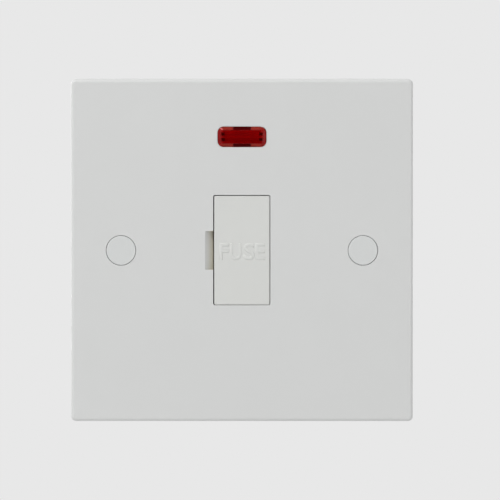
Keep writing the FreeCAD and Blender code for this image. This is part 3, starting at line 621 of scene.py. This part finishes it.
# Sets a screw on every place and turns each by its own amount
screw_setting = bpy.data.node_groups.new("screw_setting", "GeometryNodeTree")
for title, kind in (("Places", "NodeSocketGeometry"), ("Screw", "NodeSocketObject"),
                    ("Finish", "NodeSocketMaterial"), ("Turned by", NUMBER), ("Spread", NUMBER),
                    ("Seed", "NodeSocketInt")):
    screw_setting.interface.new_socket(title, in_out="INPUT", socket_type=kind)
screw_setting.interface.new_socket("Screws", in_out="OUTPUT", socket_type="NodeSocketGeometry")
given = screw_setting.nodes.new("NodeGroupInput").outputs
points = add(screw_setting, "GeometryNodeMeshToPoints", Mesh=given["Places"])
one_screw = add(screw_setting, "GeometryNodeObjectInfo", Object=given["Screw"])
least = math_node(screw_setting, "SUBTRACT", given["Turned by"], given["Spread"])
most = math_node(screw_setting, "ADD", given["Turned by"], given["Spread"])
chance = add(screw_setting, "FunctionNodeRandomValue", _2=least, _3=most, Seed=given["Seed"])
turned = add(screw_setting, "ShaderNodeCombineXYZ", Y=chance.outputs[1])
placed = add(screw_setting, "GeometryNodeInstanceOnPoints", Points=points.outputs[0],
             Instance=one_screw.outputs["Geometry"], Rotation=turned.outputs[0])
real = add(screw_setting, "GeometryNodeRealizeInstances", Geometry=placed.outputs[0])
coated = add(screw_setting, "GeometryNodeSetMaterial",
             Geometry=real.outputs[0], Material=given["Finish"])
add(screw_setting, "NodeGroupOutput", Screws=coated.outputs[0])


def set_screws(name, names, shank, pitch, thread_deep, turned_by, spread, seed):
    """The screws of the named nodes, each with its head on its seat, as one plain mesh."""
    boxes = [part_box(node) for node in names]
    low, high = boxes[0]
    seat_y = high.y - head_high
    screw = threaded_screw(shank, high.x - low.x, seat_y - low.y, pitch, thread_deep)
    places = bpy.data.meshes.new(name)
    places.from_pydata(
        [((low.x + high.x) / 2, seat_y, (low.z + high.z) / 2) for low, high in boxes], [], [])
    made = in_scene(name, places)
    modifier = made.modifiers.new("setting", "NODES")
    modifier.node_group = screw_setting
    settings = {"Screw": screw, "Finish": steel, "Turned by": turned_by, "Spread": spread,
                "Seed": seed}
    for title, value in settings.items():
        modifier[tree_socket(screw_setting, title)] = value
    settled(made)
    bpy.data.objects.remove(screw)
    coat(made, steel, "unit")
    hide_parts(*names)


set_screws("terminal_screws", [f"{end}_{wire_name}_screw" for end in ends for wire_name in wires],
           shank=0.0034, pitch=0.0006, thread_deep=0.0003, turned_by=0.4, spread=0.9, seed=7)
set_screws("housing_screws", [f"housing_screw_{number}" for number in (1, 2, 3, 4)],
           shank=0.0029, pitch=0.0011, thread_deep=0.0004, turned_by=0.8, spread=1.3, seed=3)


# The neon lamp with its resistor and wires
# A small glass tube, drawn out and sealed at one end and pinched shut over its two wires at the
# other, with a nickel rod on each wire. A lacquered resistor is in series, on bare tinned wire.
ripple_scale = 900.0
ripple_deep = 0.00002
ripple_relief = 0.3
glass_gloss = 0.03
glass_gloss_change = 0.05
glass, tree, shader = finish("lamp_glass")
shader.inputs["Transmission Weight"].default_value = 1.0
shader.inputs["IOR"].default_value = 1.5


def toned(tree, share, low_end, high_end):
    """Base colours between two, from pairs of a share from 0 to 1 and a colour."""
    tone = add(tree, "ShaderNodeValToRGB", Fac=share)
    for element, (position, colour) in zip(tone.color_ramp.elements, (low_end, high_end)):
        element.position = position
        element.color = colour
    wire(tree, tone.outputs["Color"], tree.nodes["Principled BSDF"].inputs["Base Color"])


place = object_place(tree)
noise = add(tree, "ShaderNodeTexNoise", Vector=place, Scale=ripple_scale, Detail=2.0)
ripple = noise.outputs["Fac"]
toned(tree, ripple, (0.0, paint(236, 232, 224)), (1.0, paint(250, 248, 243)))
gloss = math_node(tree, "MULTIPLY_ADD", ripple, glass_gloss_change, glass_gloss)
wire(tree, gloss, shader.inputs["Roughness"])
bump(tree, ripple, shader, ripple_deep, ripple_relief)

lamp_low, lamp_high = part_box("neon_lamp")
lamp_middle = (lamp_low + lamp_high) / 2
lamp_radius = (lamp_high.z - lamp_low.z) / 2
lamp_wall = 0.0004
bore = lamp_radius - lamp_wall
axis_radius = 0.0001
pip_long = 0.0016
pip_radius = 0.00065
pip_outline = ((0.0, 0.00012), (0.0002, 0.0004), (0.0007, pip_radius))
neck_from = 0.0007
neck_long = 0.0015
neck_fullness = 0.7
neck_steps = 8
end_round = 0.0007
end_steps = 6
pinch_long = 0.0022
pinch_bevel = 0.0004
dome_from = 0.0011
dome_long = 0.0009
dome_past = 0.0002
dome_steps = 6
rod_radius = 0.0003
rod_apart = 0.0016
rod_from = 0.0030
rod_bevel = 0.0001
stem_radius = rod_radius * 0.7
stem_in_glass = 0.0002
stem_long = 0.0005


def turned_about_x(rings, up=0.0, steps=32):
    """Rings round a line along X through the lamp's middle, from (place along X, radius) pairs."""
    return [[(along, lamp_middle.y + radius * math.cos(2 * math.pi * step / steps),
              lamp_middle.z + up + radius * math.sin(2 * math.pi * step / steps))
             for step in range(steps)]
            for along, radius in rings]


def eased(share):
    return (1 - math.cos(math.pi * share)) / 2


shoulder = lamp_low.x + pip_long
pinch = lamp_high.x - pinch_long
outer = [(lamp_low.x + along, radius) for along, radius in pip_outline]
for n in range(1, neck_steps + 1):
    widening = eased(n / neck_steps) ** neck_fullness
    outer.append((lamp_low.x + neck_from + neck_long * n / neck_steps,
                  pip_radius + (lamp_radius - pip_radius) * widening))
for n in range(end_steps + 1):
    angle = n * math.pi / (2 * end_steps)
    outer.append((lamp_high.x - end_round * (1 - math.sin(angle)),
                  lamp_radius - end_round * (1 - math.cos(angle))))
inner = [(pinch, axis_radius), (pinch, bore - pinch_bevel), (pinch - pinch_bevel, bore)]
for n in range(dome_steps + 1):
    angle = n * math.pi / (2 * dome_steps + 2)
    inner.append((shoulder + dome_from - dome_long * n / dome_steps, bore * math.cos(angle)))
inner.append((shoulder - dome_past, axis_radius))
lamp_envelope = solid("lamp_envelope", turned_about_x(outer))
combined(lamp_envelope, solid("hollow", turned_about_x(inner)), "DIFFERENCE")
coat(lamp_envelope, glass, "unit")
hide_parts("neon_lamp")

rods = bmesh.new()
rod_end = lamp_low.x + rod_from
rod = [(pinch + stem_in_glass, axis_radius), (pinch + stem_in_glass, stem_radius),
       (pinch - stem_long, stem_radius), (pinch - stem_long, rod_radius),
       (rod_end + rod_bevel, rod_radius), (rod_end, rod_radius - rod_bevel),
       (rod_end, axis_radius)]
for side in (1, -1):
    skin(rods, turned_about_x(rod, up=side * rod_apart / 2, steps=16))
rod_nickel = metal_finish("nickel_rod", paint(176, 172, 164), paint(132, 126, 118), 0.4)
coat(closed_piece("lamp_rods", rods), rod_nickel, "unit")

resistor_finish = moulding("resistor_body", paint(196, 170, 128), 0.3,
                           cloudiness=0.08, grain_size=0.0002)
tree = resistor_finish.node_tree
across = across_and_up(tree)[0]
band_half = 0.00030
bands = (
    (-0.0021, paint(120, 66, 34)),
    (-0.0009, paint(34, 32, 30)),
    (0.0002, paint(206, 178, 44)),
    (0.0019, paint(178, 146, 70)),
)
for middle, colour in bands:
    off_band = math_node(tree, "ABSOLUTE", math_node(tree, "SUBTRACT", across, middle))
    tint(tree, math_node(tree, "LESS_THAN", off_band, band_half), colour)
dress(resistor_finish, "neon_resistor")
tinned = metal_finish("tinned_wire", paint(206, 206, 204), paint(170, 170, 168), 0.3)
dress(tinned, "neon_line_lead", "neon_resistor_lead", "neon_neutral_lead")


# The lens
# A window of clear red moulding, pressed into its opening in the plate from the front. Its rim
# slopes, its back is hollow with three ridges across it, and two legs at the middle of the long
# sides hook behind the plate, so the rim is let down where they stand.
lens_low, lens_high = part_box("neon_lens")
lens_up = (lens_low.z + lens_high.z) / 2
lens_front = lens_low.y
lens_half_wide = (lens_high.x - lens_low.x) / 2
lens_half_tall = 0.0025
lens_corner = 0.00145
lens_deep = 0.0021
lens_face = 0.0011
lens_rim = 0.0008
lens_profile = (
    # how far in from the outline, how deep behind the front
    (0.00092, 0.0), (0.00080, 0.000012), (0.00070, 0.00005), (0.00018, 0.00030),
    (0.00006, 0.00038), (0.0, 0.00050), (0.0, lens_deep),
)
ridge_pitch = 0.00113
ridge_high = 0.0004
ridge_half = ridge_high * 1.2
ridge_top_half = 0.00008
ridge_end = 0.0006
overlap = 0.0001
leg_half_wide = 0.0020
leg_thick = 0.0008
leg_step = 0.00045
leg_proud = 0.00006
leg_free = 0.00002
hook_out = 0.00022
hook_front = 0.00285
leg_end = 0.0034
past_face = 0.0002
past_side = 0.001


def rounded_ring(half_wide, half_tall, radius, steps=8):
    """Points round a rectangle with round corners, as (across, up)."""
    points = []
    for quarter, (right, up) in enumerate(((1, 1), (-1, 1), (-1, -1), (1, -1))):
        for step in range(steps + 1):
            angle = (quarter + step / steps) * math.pi / 2
            points.append((right * (half_wide - radius) + radius * math.cos(angle),
                           up * (half_tall - radius) + radius * math.sin(angle)))
    return points


def bar_along_x(name, half_long, outline, inset=0.0):
    """A bar from (depth, up, inset or not) points; an inset slopes its ends at those points."""
    rings = []
    for side in (-1, 1):
        rings.append([(side * (half_long - (inset if drawn_in else 0.0)), lens_front + deep,
                       lens_up + up) for deep, up, drawn_in in outline])
    return solid(name, rings)


lens = solid("lens", [
    [(across, lens_front + deep, lens_up + up) for across, up in
     rounded_ring(lens_half_wide - inset, lens_half_tall - inset, lens_corner - inset * 0.9)]
    for inset, deep in lens_profile
])
hollow_wide = lens_half_wide - lens_rim
hollow_tall = lens_half_tall - lens_rim
past_back = lens_deep + past_face
cavity = [(lens_face, -hollow_tall, False), (lens_face, hollow_tall, False),
          (past_back, hollow_tall, False), (past_back, -hollow_tall, False)]
combined(lens, bar_along_x("cavity", hollow_wide, cavity), "DIFFERENCE")
ridge_foot = lens_face - overlap
ridge_top = lens_face + ridge_high
for number in (-1, 0, 1):
    middle = number * ridge_pitch
    ridge = [(ridge_foot, middle - ridge_half, False), (ridge_foot, middle + ridge_half, False),
             (ridge_top, middle + ridge_top_half, True), (ridge_top, middle - ridge_top_half, True)]
    combined(lens, bar_along_x("ridge", hollow_wide - overlap, ridge, ridge_end), "UNION")
for side in (1, -1):
    outer, inner = side * lens_half_tall, side * (lens_half_tall - leg_thick)
    beyond = outer + side * past_side
    step = [(-past_face, inner, False), (-past_face, beyond, False),
            (leg_step, beyond, False), (leg_step, inner, False)]
    combined(lens, bar_along_x("step", leg_half_wide, step), "DIFFERENCE")
    over = outer + side * leg_proud
    leg = [(leg_step - hair, inner, False), (leg_step - hair, over, False),
           (lens_deep, over, False), (hook_front, outer, False),
           (hook_front, outer + side * hook_out, False), (leg_end, outer, False),
           (leg_end, inner, False)]
    combined(lens, bar_along_x("leg", leg_half_wide - leg_free, leg), "UNION")

# The rim is painted lighter, as painted light from the white moulding it lies on shining through
# it, but not at the legs, which are painted darker as painted shade. Both ends of the hollow are
# painted lighter as painted light, and painted shade marks where the dark inside of the unit shows
# between the ridges.
painted_rim_light = paint(236, 78, 60)
painted_leg_shade = paint(124, 26, 28)
painted_leg_shade_share = 0.8
painted_end_light = paint(226, 44, 44)
painted_end_light_share = 0.6
painted_gap_shade = paint(100, 4, 8)
gap_middle = 0.00070
gap_half = 0.00040
gap_blur = 0.00012
gap_along = 0.14
# From where to where each tint comes in or goes out, measured from the lens's middle
leg_ends = (leg_half_wide + 0.0001, leg_half_wide + 0.0004)
rim_starts = (hollow_tall - 0.0001, hollow_tall + 0.0002)
end_starts = (lens_half_wide - 0.0016, lens_half_wide - 0.0010)
gap_opens = (0.0041, 0.0044)
gap_closes = (0.0050, 0.0053)
streak_stretch = (0.06, 1.0, 1.0)
streak_scale = 700.0
streak_deep = 0.000002
streak_relief = 0.2
red_gloss = 0.03
red_gloss_change = 0.06
red, tree, shader = finish("red_lens")
shader.inputs["Transmission Weight"].default_value = 0.72
shader.inputs["IOR"].default_value = 1.55
shader.inputs["Specular Tint"].default_value = paint(196, 128, 128)
drawn_out = add(tree, "ShaderNodeMapping", Vector=object_place(tree), Scale=streak_stretch)
place = drawn_out.outputs[0]
noise = add(tree, "ShaderNodeTexNoise", Vector=place, Scale=streak_scale, Detail=1.0)
streaks = noise.outputs["Fac"]
toned(tree, streaks, (0.3, paint(184, 4, 8)), (0.7, paint(214, 12, 14)))


def other_than(tree, share):
    return math_node(tree, "SUBTRACT", 1.0, share)


across, up = across_and_up(tree)
off_middle = math_node(tree, "ABSOLUTE", across)
off_centre = math_node(tree, "ABSOLUTE", math_node(tree, "SUBTRACT", up, lens_up))
past_leg = ramp_over(tree, off_middle, *leg_ends)
on_rim = ramp_over(tree, off_centre, *rim_starts)
# Painted light on the rim, painted shade by the legs
tint(tree, math_node(tree, "MULTIPLY", past_leg, on_rim), painted_rim_light)
by_leg = math_node(tree, "MULTIPLY", other_than(tree, past_leg), on_rim)
tint(tree, math_node(tree, "MULTIPLY", by_leg, painted_leg_shade_share), painted_leg_shade)
# Painted light at both ends of the hollow
at_end = ramp_over(tree, off_middle, *end_starts)
tint(tree, math_node(tree, "MULTIPLY", at_end, painted_end_light_share), painted_end_light)
# Painted shade between the ridges, darkest at the ends
off_gap = math_node(tree, "ABSOLUTE", math_node(tree, "SUBTRACT", off_centre, gap_middle))
in_gap = other_than(tree, ramp_over(tree, off_gap, gap_half - gap_blur, gap_half + gap_blur))
opened = ramp_over(tree, off_middle, *gap_opens)
not_closed = other_than(tree, ramp_over(tree, off_middle, *gap_closes))
gap_end = math_node(tree, "MULTIPLY", opened, not_closed)
darkened = math_node(tree, "MULTIPLY", in_gap, math_node(tree, "MAXIMUM", gap_end, gap_along))
tint(tree, darkened, painted_gap_shade)
gloss = math_node(tree, "MULTIPLY_ADD", streaks, red_gloss_change, red_gloss)
wire(tree, gloss, shader.inputs["Roughness"])
bump(tree, streaks, shader, streak_deep, streak_relief)
coat(lens, red, "unit")
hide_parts("neon_lens")


# The rear housing
# The white moulded base behind the plate, with a pocket for each terminal. It is moulded in a
# plainer tool than the front and has a satin skin. Raised marks on its back panel, moulded with
# it, say which terminal is which: the words, N, L and the earth sign in each row.
housing_finish = moulding("housing_moulding", paint(210, 210, 205), 0.48, cloudiness=0.04)
dress(housing_finish, "rear_housing")
panel_sunk = 0.0005
panel_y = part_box("rear_housing")[1].y - panel_sunk
mark_proud = 0.00025
mark_tall = 0.0026
mark_slope = 0.025
column_apart = 0.0094
word_pitch = 0.0025
word_letter_wide = 0.0019
neutral_wide = 0.0021
line_wide = 0.0017
rows = (
    # word, its bottom, bottom of its row of signs
    ("LOAD", 0.0012, 0.0056),
    ("SUPPLY", -0.0038, -0.0082),
)
stem_half_wide = 0.00014
stem_half_tall = 0.00055
earth_bars = (0.0010, 0.0006, 0.00025)
earth_bar_apart = 0.00045
earth_bar_half = 0.00012
bar_slope = 0.00005
marks = bmesh.new()


def mark(character, middle_x, bottom, wide):
    """A raised letter on the back panel, the right way round when seen from behind."""
    span = (character, middle_x + wide / 2, middle_x - wide / 2)
    raised_letters(marks, (span,), bottom, bottom + mark_tall, panel_y, 1, mark_proud, mark_slope)


def raised_bar(middle_x, middle_z, half_wide, half_tall):
    """A raised bar on the back panel with sloping sides."""
    levels = ((0.0, panel_y - word_sunk), (0.0, panel_y), (bar_slope, panel_y + mark_proud))
    skin(marks, [[(middle_x + right * (half_wide - inset), depth,
                   middle_z + up * (half_tall - inset))
                  for right, up in ((1, 1), (-1, 1), (-1, -1), (1, -1))]
                 for inset, depth in levels])


for side_word, bottom, row in rows:
    for number, character in enumerate(side_word):
        middle = (len(side_word) - 1) / 2 - number
        mark(character, middle * word_pitch, bottom, word_letter_wide)
    mark("N", column_apart, row, neutral_wide)
    mark("L", 0.0, row, line_wide)
    sign_middle = row + mark_tall / 2
    raised_bar(-column_apart, sign_middle + stem_half_tall, stem_half_wide, stem_half_tall)
    for number, reach in enumerate(earth_bars):
        raised_bar(-column_apart, sign_middle - number * earth_bar_apart, reach, earth_bar_half)
coat(closed_piece("terminal_marks", marks), housing_finish, "unit")
